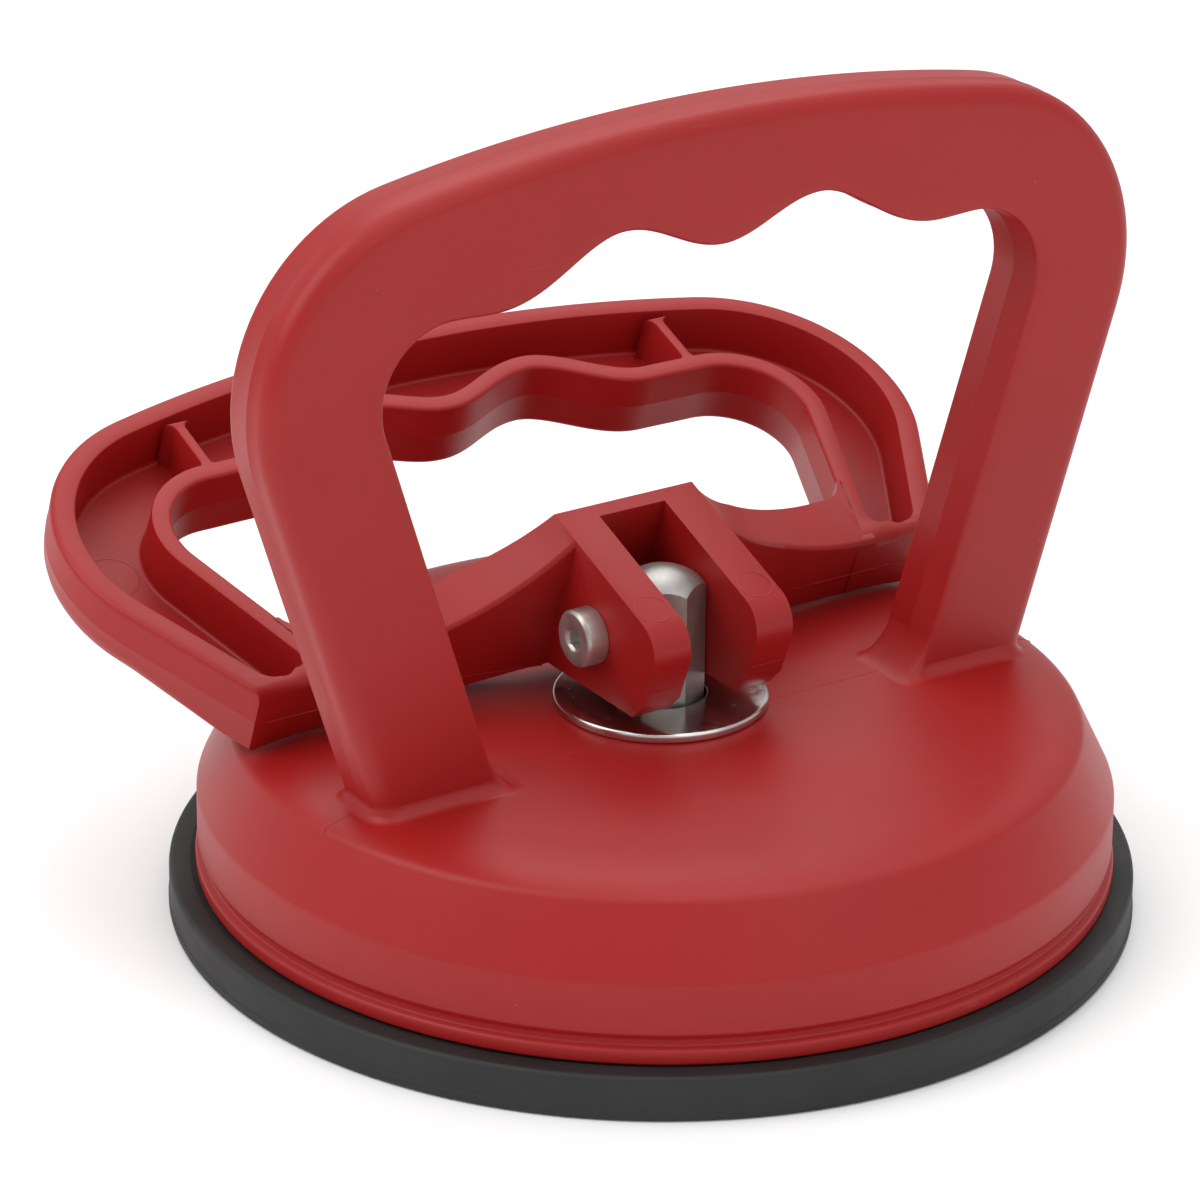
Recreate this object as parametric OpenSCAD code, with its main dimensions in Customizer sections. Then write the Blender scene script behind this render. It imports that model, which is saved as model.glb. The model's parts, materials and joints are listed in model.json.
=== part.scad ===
// Lever-operated vacuum suction cup: a rubber disc under a moulded dome with a fixed grip handle.
// Raising the lever rolls its cam ears on the steel washer and draws the middle of the disc up.
// Frame: millimetres, +Z up, X along the grips, +Y towards the resting lever.
// The origin is the centre of the face that grips the work.

/* [Suction pad] */
// Diameter of the rubber disc
pad_d = 118; // [95:1:145]
// Thickness of the disc's rim, which the dome stands on
pad_rim_t = 5.5; // [4:0.5:8]
// Thickness of the middle of the disc
pad_mid_t = 3.7; // [2.5:0.1:4]
// Diameter of the steel plate bonded to the disc
plate_d = 52; // [36:1:64]
// Thickness of the steel plate
plate_t = 2; // [1.5:0.5:3]

/* [Dome] */
// How far the disc stands out past the dome's lip
pad_margin = 3.2; // [2:0.1:6]
// Height at which the skirt ends and the bevel starts
skirt_top_z = 15.4; // [13:0.1:20]
// Height at which the bevel ends and the crown starts
crown_edge_z = 23.8; // [22:0.1:24.2]
// Width of the bevel, measured along the radius
bevel_w = 4.2; // [3:0.1:8]
// Height of the flat seat under the washer
seat_z = 25.3; // [24.5:0.1:30]
// Wall thickness of the mouldings
wall = 2.8; // [2:0.1:3.5]
// Thickness of the ribs inside the dome
rib_t = 2; // [1.2:0.1:3]
// Number of ribs inside the dome
rib_count = 8; // [4:1:12]

/* [Fixed handle] */
// Height of the top of the handle
handle_top_z = 102; // [90:0.1:120]
// Thickness of the handle, front to back
handle_t = 8.8; // [8:0.1:12]
// Distance from the post's axis forward to the middle of the handle
handle_y = 7.1; // [7:0.1:9]
// Outer corner radius of the handle
corner_r = 24; // [20:0.5:28]
// Width of the handle's legs
leg_w = 14.8; // [12:0.1:18]
// Lean of the legs away from upright, in degrees
leg_lean = 17.4; // [10:0.1:20]
// Smallest height of the grip bar, over the deepest finger hollow
grip_h = 11.8; // [10:0.1:16]
// Wall thickness of the hollow grips
grip_wall = 3; // [2:0.1:3.5]

/* [Lever] */
// Reach of the lever from its pivot to its far edge
lever_reach = 63.9; // [55:0.1:80]
// Thickness of the lever's loop
lever_t = 8.8; // [8:0.1:12]
// Distance of the loop's open face below the pivot
lever_drop = 6.1; // [6:0.1:9]
// Lean of the lever at rest above the horizontal, in degrees
rest_tilt = 20.7; // [18:0.1:22]
// Thickness of the lever's floor under its open channel
floor_t = 2.4; // [1.5:0.1:4]
// Wall at the near ends of the lever's channel
near_wall = 1.8; // [1.2:0.1:3]
// Thickness of the ribs across both channels
cross_rib_t = 1.4; // [1:0.1:2.5]

/* [Cam ears] */
// Thickness of each ear
ear_t = 5.15; // [4:0.05:7]
// Height of the ears above the pivot
ear_top = 8.5; // [7:0.1:10]
// Distance from the pivot to the ears' end faces, which stand on the washer when locked
cam_reach = 12; // [11.5:0.1:12.5]
// Distance from the pivot down to the ears' flat undersides at rest
heel_drop = 7.4; // [6.5:0.1:8.5]
// How far the post is drawn up over the lever's whole swing
lift = 3.2; // [3:0.1:4]

/* [Post and pivot] */
// Width of the hexagonal post across its flats
post_af = 9; // [8:0.1:11]
// Diameter of the stud that the post screws onto
stud_d = 6; // [5:0.5:6.5]
// Outer diameter of the cam washer
washer_d = 26; // [22:0.5:32]
// Thickness of the cam washer
washer_t = 1.2; // [0.8:0.1:2]
// Height of the pivot above the washer at rest
pivot_rise = 9.5; // [9:0.1:11]
// Diameter of the pivot screw
screw_d = 4; // [3:0.5:4.5]

/* [Hidden] */
$fn = 96;

red = "#a8322e";
steel = "#b9b6b0";
rubber = "#2f2f30";

// Clearances
bond_gap = 0.3;       // rubber film between the disc and its plate, which the solids leave out
slide_gap = 0.15;     // hexagonal post in its guide, per side
slot_gap = 0.15;      // post between the ears, per side
pin_gap = 0.08;       // pivot screw in the post, per side
ear_bore_gap = 0.05;  // pivot screw in the ears, per side
nut_gap = 0.05;       // pivot nut in its pocket, per side
cam_gap = 0.25;       // bevelled cam corner over the washer
washer_gap = 0.3;     // post's corners in the washer's hole
inner_gap = 0.8;      // raised nut and plate under the guide and the ribs
arch_gap = 0.6;       // arch under the lever's bar over the crown
rest_gap = 0.4;       // resting lever over the crown
cut = 1;              // how far a cut runs past the face it opens

// Dome
pad_r = pad_d / 2;
lip_r = pad_r - pad_margin;
skirt_r = lip_r - 0.3;
groove_r = lip_r - 0.9;
crown_r = skirt_r - bevel_w;
bevel_tilt = atan((crown_edge_z - skirt_top_z) / bevel_w);
washer_r = washer_d / 2;
seat_r = washer_r + 0.6;
crown_drop = seat_z - crown_edge_z;
crown_power = 14;                     // how far out the crown stays flat before it rounds down
function crown_z(r) = seat_z - crown_drop * pow((r - seat_r) / (crown_r - seat_r), crown_power);
crown_line = [for (i = [0:12]) let (r = crown_r - (crown_r - seat_r) * i * i / 144) [r, crown_z(r)]];
root_z = seat_z - wall / 2;           // inside the crown's wall, where ribs and handle grow from it
rim_in_r = skirt_r - wall - 1.7;      // inner edge of the disc's thick rim
pad_web_t = pad_mid_t - 0.5;

// Post
post_r = post_af / 2 / cos(30);
nut_z = pad_mid_t + bond_gap + plate_t;
nut_h = stud_d / 2;
nut_af = stud_d + 4;
post_z = nut_z + nut_h;
post_top = 7.2;                       // the post's domed end above the pivot
dome_r = post_af * 0.72;
stud_top_z = post_z + 2.5 * stud_d;
guide_r = post_r + 3.4;
guide_z = post_z + lift + inner_gap;
hub_rib_z = nut_z + lift + inner_gap;

// Pivot
washer_top_z = seat_z + washer_t;
pivot_z = washer_top_z + pivot_rise;
slot_w = post_af + 2 * slot_gap;
ear_x = slot_w / 2 + ear_t;
screw_r = screw_d / 2;
head_r = screw_d * 0.875;
head_h = screw_d * 0.7;
key_af = screw_d * 0.625;
key_depth = head_h * 0.6;
pivot_nut_af = screw_d + 3;
pivot_nut_h = screw_d * 0.75;
pocket_depth = ear_t * 0.43;
screw_tip_x = ear_x - pocket_depth + pivot_nut_h + 0.6;

// Both grips: finger hollows beside the middle of the bar, and how much deeper the bar is elsewhere
finger_x = 13.3;
mid_dip = 3.9;
side_dip = 6.5;
side_run = 5.4;                       // from the deepest side of a hollow to the corner

// Fixed handle: the middle of its rounded corners, and the shape of its finger hollows
corner_in = 15.4;                     // from the crown's edge in to the corner's middle
top_rise = 3.3;                       // middle of the grip above its corners
corner_x = crown_r - corner_in;
corner_z = handle_top_z - corner_r - top_rise;
inner_r = corner_r - leg_w;
hollow_top = handle_top_z - grip_h;
handle_wave = [[0, hollow_top - mid_dip],
               [finger_x, hollow_top],
               [corner_x - side_run, hollow_top - side_dip],
               [corner_x, corner_z + inner_r]];

// Lever: the same things in the lever's own plane
lever_rise = 5.1;
lever_corner_r = corner_r - 0.3;
lever_corner = [corner_x + 0.9, lever_reach - lever_corner_r - lever_rise];
lever_inner_r = 9;
lever_inner = lever_corner + [-1.1, 1.4];
lever_hollow = lever_reach - grip_h;
lever_side_run = 7.7;
near_u = 9;                           // near corners of the loop
near_x = lever_corner[0] + 12;
bar_back_u = 17.3;                    // bar in front of the opening, from back to front
ear_back_u = 12.1;
slot_back_u = ear_back_u - 2.4;
bar_front_u = 7.1;
wing_x = 15;                          // how far out from the ears the bar's front edge leans
bar_bow = [ear_x + 9.7, bar_back_u - 2.1];
lever_wave = [[0, lever_hollow - mid_dip],
              [finger_x, lever_hollow],
              [lever_inner[0] - lever_side_run, lever_hollow - side_dip],
              [lever_inner[0], lever_inner[1] + lever_inner_r]];
loop_low = -lever_drop - lever_t;
cross_rib_x = corner_x - 0.6;
cross_rib_drop = 0.4;                 // ribs below the rim of the lever's channel
channel_z = seat_z + 12;              // lower ends of the channel in the fixed handle

// ---------- outlines ----------
// Points along an arc
function arc(c, r, a0, a1, n = 16) =
    [for (i = [0:n]) let (a = a0 + (a1 - a0) * i / n) c + r * [cos(a), sin(a)]];

// The same points, mirrored and in reverse, so that half an outline closes on itself
function mirrored(p) = [for (i = [len(p) - 1:-1:0]) [-p[i][0], p[i][1]]];

// Finger hollows: a smooth wave through the key points, from the last one back to the first
function wave(keys, rise, n = 7) = [for (k = [len(keys) - 1:-1:1]) for (i = [0:n - 1])
    let (a = keys[k], b = keys[k - 1], s = i / n)
    [a[0] + (b[0] - a[0]) * s, a[1] + (b[1] - a[1]) * (1 - cos(180 * s)) / 2 + rise]];

// Angle at which a line from point p leaves a circle of radius r round c, on its outer side
function tangent_angle(c, r, p) = let (d = p - c) atan2(d[1], d[0]) + acos(r / norm(d));

// Big arc over the top of a grip, which runs into a corner of radius r round c without a kink
function top_arc_r(c, r, top) = let (rise = top - c[1])
    (c[0] * c[0] + rise * rise - r * r) / (2 * (rise - r));

// Right half of a grip's outer edge, drawn inwards by inset, from the corner's start to the top
function outer_half(c, r, top, start, inset) =
    let (big = top_arc_r(c, r, top),
         mid = [0, top - big],
         meet = atan2(c[1] - mid[1], c[0]))
    concat(arc(c, r - inset, start, meet, 22), arc(mid, big - inset, meet, 90, 10));

// Fixed handle's outer edge, down to a height inside the dome
handle_c = [corner_x, corner_z];
function leg_x(r, z) = handle_c[0] + r / cos(leg_lean) - (handle_c[1] - z) * tan(leg_lean);
function handle_outer(inset, z) = let (h = concat([[leg_x(corner_r - inset, z), z]],
    outer_half(handle_c, corner_r, handle_top_z, -leg_lean, inset))) concat(h, mirrored(h));
function handle_inner(inset, z) = let (h = concat([[leg_x(inner_r + inset, z), z]],
    arc(handle_c, inner_r + inset, -leg_lean, 90, 12),
    wave(handle_wave, inset), [[0, handle_wave[0][1] + inset]])) concat(h, mirrored(h));

// Lever's outer edge, from its near corners round its far side
near_corner = [near_x, near_u];
lever_start = tangent_angle(lever_corner, lever_corner_r, near_corner);
side = [cos(lever_start), sin(lever_start)];
function lever_outer(inset, u) = let (
    p = near_corner - inset * side,
    run = (u - p[1]) / side[0],
    h = concat([[p[0] - run * side[1], u]],
        outer_half(lever_corner, lever_corner_r, lever_reach, lever_start, inset))) concat(h, mirrored(h));

// Lever's finger opening, drawn outwards by inset, down to the bar in front of it
opening_lean = 18.1;
opening_r = 4;
opening_u = 21.5;
opening_x = lever_inner[0] + lever_inner_r / cos(opening_lean)
    - (lever_inner[1] - opening_u) * tan(opening_lean) - opening_r / cos(opening_lean);
bar_lean = atan((bar_back_u - ear_back_u) / (opening_x - ear_x));
function lever_inner_edge(inset) = let (h = concat(
    [[ear_x, ear_back_u]],
    arc([opening_x, opening_u], opening_r + inset, bar_lean - 90, -opening_lean, 6),
    arc(lever_inner, lever_inner_r + inset, -opening_lean, 90, 12),
    wave(lever_wave, inset), [[0, lever_wave[0][1] + inset]])) concat(h, mirrored(h));

// ---------- helpers ----------
// Puts the lever's own plane, X by U by W, at its rest lean on the pivot
module lever_frame() {
    translate([0, 0, pivot_z]) rotate([rest_tilt, 0, 0]) children();
}

// A front-view outline, X by Z, given depth between two Y positions
module upright(y0, y1) {
    translate([0, y1, 0]) rotate([90, 0, 0]) linear_extrude(y1 - y0) children();
}

// Hexagonal bar along Z with flats facing X
module hex_bar(af, h) {
    rotate(30) cylinder(d = af / cos(30), h = h, $fn = 6);
}

// ---------- housing ----------
module dome_shell() {
    inner_crown = [for (i = [1:7]) let (r = crown_r * i / 8) [r, crown_z(max(r, seat_r)) - wall]];
    skirt_in = skirt_r - wall;
    roof_r = crown_r - wall * tan(bevel_tilt / 2);
    rotate_extrude() polygon(concat(
        [[skirt_in, pad_rim_t], [lip_r - 0.7, pad_rim_t], [lip_r, pad_rim_t + 0.6],
         [lip_r, pad_rim_t + 1.5], [groove_r, pad_rim_t + 2.1], [groove_r, pad_rim_t + 2.7],
         [skirt_r, pad_rim_t + 3.3], [skirt_r, skirt_top_z]],
        crown_line, [[0, seat_z], [0, seat_z - wall]], inner_crown,
        [[roof_r, crown_edge_z - wall], [skirt_in, skirt_top_z - wall * tan((90 - bevel_tilt) / 2)]]));
}

module dome_ribs() {
    for (k = [0:rib_count - 1])
        rotate(360 * (k + 0.5) / rib_count)
            upright(-rib_t / 2, rib_t / 2)
                polygon([[guide_r - 1, hub_rib_z + 2], [plate_d / 2 + 2, hub_rib_z],
                         [skirt_r - wall / 2, pad_rim_t + 3], [skirt_r - wall / 2, skirt_top_z - 2],
                         [crown_r - 2, crown_edge_z - wall / 2], [guide_r - 1, root_z]]);
}

module handle_loop() {
    difference() {
        upright(-handle_y - handle_t / 2, -handle_y + handle_t / 2)
            difference() {
                polygon(handle_outer(0, root_z));
                polygon(handle_inner(0, skirt_top_z));
            }
        // open channel in the back of the grip, facing the raised lever
        upright(-handle_y - handle_t / 2 + grip_wall, handle_y)
            intersection() {
                difference() {
                    polygon(handle_outer(grip_wall, seat_z));
                    polygon(handle_inner(grip_wall, seat_z - cut));
                }
                translate([-pad_d, channel_z]) square([2 * pad_d, handle_top_z]);
            }
    }
    // ribs across the channel
    for (s = [-1, 1])
        upright(-handle_y - handle_t / 2 + grip_wall / 2, -handle_y + handle_t / 2)
            translate([s * cross_rib_x - cross_rib_t / 2, corner_z + inner_r + grip_wall / 2])
                square([cross_rib_t, corner_r - inner_r - grip_wall]);
}

module housing() {
    color(red) difference() {
        union() {
            dome_shell();
            dome_ribs();
            translate([0, 0, guide_z]) cylinder(r = guide_r, h = seat_z - wall / 2 - guide_z);
            handle_loop();
        }
        translate([0, 0, guide_z - cut]) hex_bar(post_af + 2 * slide_gap, seat_z - guide_z + 2 * cut);
    }
}

// ---------- steel between the cam and the dome ----------
module cam_washer() {
    color(steel) translate([0, 0, seat_z]) difference() {
        cylinder(r = washer_r, h = washer_t);
        translate([0, 0, -cut]) cylinder(r = post_r + washer_gap, h = washer_t + 2 * cut);
    }
}

// ---------- disc ----------
module suction_pad() {
    color(rubber) rotate_extrude()
        polygon([[0, 0], [pad_r - 0.4, 0], [pad_r, 0.4], [pad_r, 1.4], [pad_r - 0.1, pad_rim_t - 0.5],
                 [pad_r - 0.6, pad_rim_t], [rim_in_r, pad_rim_t], [rim_in_r - 3, pad_web_t],
                 [plate_d / 2 + 3, pad_web_t], [plate_d / 2 + 2, pad_mid_t], [0, pad_mid_t]]);
}

module pad_plate() {
    color(steel) translate([0, 0, pad_mid_t + bond_gap]) difference() {
        cylinder(d = plate_d, h = plate_t);
        for (a = [0:60:300])
            rotate(a) translate([plate_d * 0.36, 0, -cut]) cylinder(d = 4, h = plate_t + 2 * cut, $fn = 32);
    }
}

module pad_stud() {
    color(steel) {
        translate([0, 0, nut_z]) cylinder(d = stud_d, h = stud_top_z - nut_z - 0.6);
        translate([0, 0, stud_top_z - 0.6]) cylinder(d1 = stud_d, d2 = stud_d - 1.2, h = 0.6);
    }
}

module lock_nut() {
    color(steel) translate([0, 0, nut_z]) difference() {
        intersection() {
            hex_bar(nut_af, nut_h);
            cylinder(d = nut_af * 1.08, h = nut_h);
        }
        translate([0, 0, -cut]) cylinder(d = stud_d, h = nut_h + 2 * cut);
    }
}

module hex_post() {
    top_z = pivot_z + post_top;
    color(steel) difference() {
        intersection() {
            translate([0, 0, post_z]) hex_bar(post_af, top_z - post_z);
            union() {
                translate([0, 0, top_z - dome_r]) sphere(r = dome_r);
                translate([0, 0, post_z]) cylinder(r = dome_r, h = top_z - dome_r - post_z);
            }
        }
        translate([0, 0, post_z - cut]) cylinder(d = stud_d, h = stud_top_z - post_z + cut + 1);
        translate([-post_af, 0, pivot_z]) rotate([0, 90, 0]) cylinder(r = screw_r + pin_gap, h = 2 * post_af);
    }
}

// ---------- lever ----------
// Loop of the grip with its open channel and the ribs across it
module lever_loop() {
    rib_u0 = lever_inner[1] + lever_inner_r;
    rib_u1 = lever_corner[1] + lever_corner_r - grip_wall / 2;
    difference() {
        translate([0, 0, loop_low]) linear_extrude(lever_t)
            difference() {
                polygon(lever_outer(0, near_u));
                polygon(lever_inner_edge(0));
            }
        translate([0, 0, loop_low + floor_t]) linear_extrude(lever_t)
            difference() {
                polygon(lever_outer(grip_wall, near_u + near_wall));
                polygon(lever_inner_edge(grip_wall - 0.5));
                square([2 * (opening_x + 2), 2 * (bar_back_u + 3)], center = true);
            }
    }
    for (s = [-1, 1])
        translate([s * cross_rib_x - cross_rib_t / 2, rib_u0, loop_low])
            cube([cross_rib_t, rib_u1 - rib_u0, lever_t - cross_rib_drop]);
}

// Bar in front of the opening, which sweeps up into the ears on both sides
module lever_bar() {
    sweep_x = opening_x + 2.9;
    rise = ear_top + lever_drop;
    run = sweep_x - ear_x;
    sweep_r = (run * run + rise * rise) / (2 * rise);
    top = arc([sweep_x, sweep_r - lever_drop], sweep_r, -90 - 2 * atan(rise / run), -90, 14);
    profile = concat([[0, loop_low], [near_x, loop_low], [near_x, -lever_drop]],
                     [for (i = [len(top) - 1:-1:0]) top[i]], [[0, ear_top]]);
    plan = [[0, bar_front_u], [ear_x, bar_front_u], [ear_x + wing_x, near_u], [near_x, near_u],
            [opening_x + 5, near_u + near_wall], [opening_x + 2, bar_back_u], [opening_x - 0.5, bar_back_u],
            bar_bow, [ear_x, ear_back_u], [0, ear_back_u]];
    intersection() {
        translate([0, bar_back_u, 0]) rotate([90, 0, 0]) linear_extrude(bar_back_u)
            polygon(concat(profile, mirrored(profile)));
        translate([0, 0, loop_low - cut]) linear_extrude(rise + lever_t + 2 * cut)
            polygon(concat(plan, mirrored(plan)));
    }
}

// Side view of the ears, U by W: flat underside, bevelled cam corner, end face, rounded nose.
// Each cam face lies flat on the washer at one lever angle t, with the pivot d above it, and two meet here
function face_meet(t1, d1, t2, d2) = let (s = sin(t2 - t1))
    [(d1 * cos(t2) - d2 * cos(t1)) / s, (d2 * sin(t1) - d1 * sin(t2)) / s];
bevel_at = 65;
bevel_d = pivot_rise + lift * (bevel_at - rest_tilt) / (90 - rest_tilt) - cam_gap;
nose_r = 4;

module ear_side() {
    heel_front = face_meet(rest_tilt, heel_drop, bevel_at, bevel_d);
    toe = face_meet(bevel_at, bevel_d, 90, cam_reach);
    heel_back = [ear_back_u, (-heel_drop - ear_back_u * sin(rest_tilt)) / cos(rest_tilt)];
    polygon(concat([heel_back, [ear_back_u, ear_top]],
        arc([nose_r - cam_reach, ear_top - nose_r], nose_r, 90, 180, 8), [toe, heel_front]));
}

module lever_ears() {
    rotate([90, 0, 90]) translate([0, 0, -ear_x]) linear_extrude(2 * ear_x) ear_side();
}

module lever() {
    arch_w = 26;
    arch_h = heel_drop - pivot_z + crown_z(arch_w) + arch_gap;
    arch_r = (arch_w * arch_w + arch_h * arch_h) / (2 * abs(arch_h));
    color(red) difference() {
        lever_frame() difference() {
            union() {
                lever_loop();
                lever_bar();
                lever_ears();
            }
            // slot for the post
            translate([-slot_w / 2, -cam_reach - cut, loop_low - cut])
                cube([slot_w, cam_reach + slot_back_u + cut, lever_t + lever_drop + ear_top + 3 * cut]);
            // pivot bore and the pocket that keeps the nut from turning
            translate([-ear_x - cut, 0, 0]) rotate([0, 90, 0])
                cylinder(r = screw_r + ear_bore_gap, h = 2 * (ear_x + cut));
            translate([ear_x - pocket_depth, 0, 0]) rotate([0, 90, 0]) rotate(90)
                hex_bar(pivot_nut_af + 2 * nut_gap, pocket_depth + cut);
        }
        // clearance over the crown at rest
        translate([0, 0, rest_gap]) rotate_extrude()
            polygon(concat([[0, root_z], [crown_r, root_z]], crown_line, [[0, seat_z]]));
        // arch under the bar, over the washer and the crown
        translate([0, -near_x, pivot_z - heel_drop - arch_r]) rotate([-90, 0, 0])
            cylinder(r = arch_r, h = 2 * near_x + bar_back_u, $fn = 200);
    }
}

module pivot_screw() {
    color(steel) lever_frame() rotate([0, 90, 0]) difference() {
        union() {
            translate([0, 0, -ear_x]) cylinder(r = screw_r, h = ear_x + screw_tip_x);
            translate([0, 0, -ear_x - head_h + 0.3]) cylinder(r = head_r, h = head_h - 0.3);
            translate([0, 0, -ear_x - head_h]) cylinder(r1 = head_r - 0.3, r2 = head_r, h = 0.3);
        }
        translate([0, 0, -ear_x - head_h - cut]) hex_bar(key_af, key_depth + cut);
    }
}

module pivot_nut() {
    color(steel) lever_frame() rotate([0, 90, 0]) translate([0, 0, ear_x - pocket_depth]) difference() {
        rotate(90) hex_bar(pivot_nut_af, pivot_nut_h);
        translate([0, 0, -cut]) cylinder(r = screw_r, h = pivot_nut_h + 2 * cut);
    }
}

housing();
cam_washer();
suction_pad();
pad_plate();
pad_stud();
lock_nut();
hex_post();
lever();
pivot_screw();
pivot_nut();
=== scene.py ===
"""Looks for a lever-operated vacuum suction cup: red mouldings, a black rubber disc and plated steel.
Lengths in this file are millimetres until a mesh is made; the frame and Blender use metres."""
import json
import math

import bmesh
import bpy
from mathutils import Matrix, Vector


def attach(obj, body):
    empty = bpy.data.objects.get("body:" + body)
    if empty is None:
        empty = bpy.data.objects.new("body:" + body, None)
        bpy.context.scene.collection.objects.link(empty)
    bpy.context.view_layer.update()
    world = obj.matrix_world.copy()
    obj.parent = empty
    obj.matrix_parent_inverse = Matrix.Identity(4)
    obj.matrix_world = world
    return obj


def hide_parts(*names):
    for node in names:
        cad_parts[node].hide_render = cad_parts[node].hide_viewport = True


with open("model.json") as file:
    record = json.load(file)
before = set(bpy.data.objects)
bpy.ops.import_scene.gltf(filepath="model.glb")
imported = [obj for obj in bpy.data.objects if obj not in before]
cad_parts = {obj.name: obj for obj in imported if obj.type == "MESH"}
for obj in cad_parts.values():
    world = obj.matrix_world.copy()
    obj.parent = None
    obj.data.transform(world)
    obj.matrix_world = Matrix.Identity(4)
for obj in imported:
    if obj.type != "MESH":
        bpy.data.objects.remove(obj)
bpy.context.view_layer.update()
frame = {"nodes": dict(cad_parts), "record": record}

MM = 0.001
WELD = 1e-4      # vertices closer than this are one
AXIS_R = 0.01    # radius of the tiny hole that a turned face leaves at its axis
scene = bpy.context.scene

# ---------------------------------------------------------------- sizes
# These are the CAD source's sizes. The disc, the lever's outline and thickness, the post's top and the slot
# differ from it by up to 0.8 mm, to follow the real outlines. U and W are the lever's own axes: along it,
# and across its thickness.
PAD_R = 58.5
PAD_RIM_T = 5.5
LIP_R = 55.5
SKIRT_R = 55.2
SKIRT_TOP_Z = 15.4
CROWN_R = 51.1
CROWN_EDGE_Z = 23.8
CROWN_POWER = 14
BASE_X, BASE_Y = -0.3, 0.5      # the dome and disc sit this far off the post's axis
SEAT_R = 13.6
SEAT_Z = 25.3
WALL = 2.8
GUIDE_R = 7.2       # hole in the seat that the post comes through
WASHER_R = 13.0
WASHER_T = 1.2
WASHER_HOLE_R = 5.5
PIVOT_Z = 36.0
POST_AF = 9.0
POST_TOP_Z = 42.5
POST_Z = 9.0

HANDLE_TOP_Z = 102.0
HANDLE_T = 8.8
HANDLE_FRONT_Y = -11.5
HANDLE_CORNER = (35.9, 74.7)
CORNER_R = 24.0
INNER_R = 9.2
LEG_LEAN = 17.4
CHANNEL_Z = 37.3       # foot of the channel in the handle's rear
HANDLE_FOOT_Z = 23.2
FILLET_Z = 25.2        # where the leg's section is taken for the fillet at its foot
FILLET_OUT = 1.8       # width and height of that fillet on the leg's outer side
FILLET_IN_W, FILLET_IN_H = 3.5, 5.0
BEAD_X = 54.6          # half length of the parting line over the dome
HANDLE_WAVE = ((0, 86.3), (13.3, 90.2), (30.5, 83.7), (35.9, 83.9))

REST_TILT = 20.7
RAISED_TILT = 90.0
LIFT = 3.2
LEVER_T = 9.1
LEVER_OPEN_W = -6.1
LEVER_REACH = 63.9
LEVER_CORNER = (36.9, 36.3)
LEVER_CORNER_R = 23.0
LEVER_INNER = (36.2, 36.2)
LEVER_INNER_R = 9.0
OPENING_LEAN = 18.1
NEAR_X, NEAR_U = 48.8, 9.0
LEVER_WAVE = ((0, 47.9), (13.3, 51.8), (28.5, 45.3), (36.2, 45.2))
RIB_X = 35.3
GRIP_WALL = 3.0
FLOOR_T = 2.4
CHANNEL_END_R = 1.5    # rounded corners of a channel's closed end
END_STEPS = (0, 0.1, 0.35, 0.7, 1.1, 1.5)
NEAR_WALL = 2.05       # closed end of the lever's channel
NEAR_EDGE = 0.15       # share of the rounded outer edge that the near end keeps
EAR_X = 9.8
EAR_TOP = 8.5
EAR_NOSE_R = 4.0
EAR_BACK_U = 12.4
SLOT_X = 4.65
SLOT_BACK_U = 10.4
BAR_FRONT_U = 7.1      # front of the bar at the ears
BAR_LEAN_X = 15.0      # distance over which its front leans out to the wings
BAR_BACK_U = 17.5
BAR_FAR_X = 44.0
HEEL = 7.4             # distances from the pivot to the cam's three faces
BEVEL_FACE = 9.5
LOCK_FACE = 12.0
BEVEL_TILT = 65.0      # tilt at which the middle face lies flat
CAM_GAP = 0.25
ARCH_X, ARCH_GAP = 26.0, 0.6    # the bar's hollow over the crown: where it meets the law, and its clearance
BORE_R = 2.05
NUT_AF, NUT_POCKET = 7.1, 2.2
SCREW_HEAD_R, SCREW_HEAD_H, KEY_AF = 3.5, 2.8, 2.5


def crown_z(r):
    """Height of the dome's top at a radius from its own middle."""
    if r <= SEAT_R:
        return SEAT_Z
    if r <= CROWN_R:
        return SEAT_Z - (SEAT_Z - CROWN_EDGE_Z) * ((r - SEAT_R) / (CROWN_R - SEAT_R)) ** CROWN_POWER
    return CROWN_EDGE_Z - (r - CROWN_R) * (CROWN_EDGE_Z - SKIRT_TOP_Z) / (SKIRT_R - CROWN_R)


def top_z(x, y):
    return crown_z(math.hypot(x - BASE_X, y - BASE_Y))


# ---------------------------------------------------------------- small geometry helpers
def cosd(a):
    return math.cos(math.radians(a))


def sind(a):
    return math.sin(math.radians(a))


def arc(c, r, a0, a1, n):
    return [(c[0] + r * cosd(a0 + (a1 - a0) * i / n), c[1] + r * sind(a0 + (a1 - a0) * i / n)) for i in range(n + 1)]


def lerp(a, b, t):
    return tuple(x + (y - x) * t for x, y in zip(a, b))


def filleted(points, closed=True, n=6):
    """Rounds the corners of a 2-D outline. A point is (x, y) or (x, y, radius)."""
    out = []
    count = len(points)
    for i, p in enumerate(points):
        r = p[2] if len(p) > 2 else 0
        if r <= 0 or (not closed and i in (0, count - 1)):
            out.append((p[0], p[1]))
            continue
        q = Vector(p[:2])
        a = (Vector(points[i - 1][:2]) - q).normalized()
        b = (Vector(points[(i + 1) % count][:2]) - q).normalized()
        half = a.angle(b) / 2
        run = r / math.tan(half)
        c = q + (a + b).normalized() * r / math.sin(half)
        s, e = q + a * run - c, q + b * run - c
        turn = math.atan2(s.x * e.y - s.y * e.x, s.dot(e))
        start = math.atan2(s.y, s.x)
        steps = max(2, round(n * abs(turn) / (math.pi / 2)))
        out += [(c.x + r * math.cos(start + turn * k / steps), c.y + r * math.sin(start + turn * k / steps))
                for k in range(steps + 1)]
    return out


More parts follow.
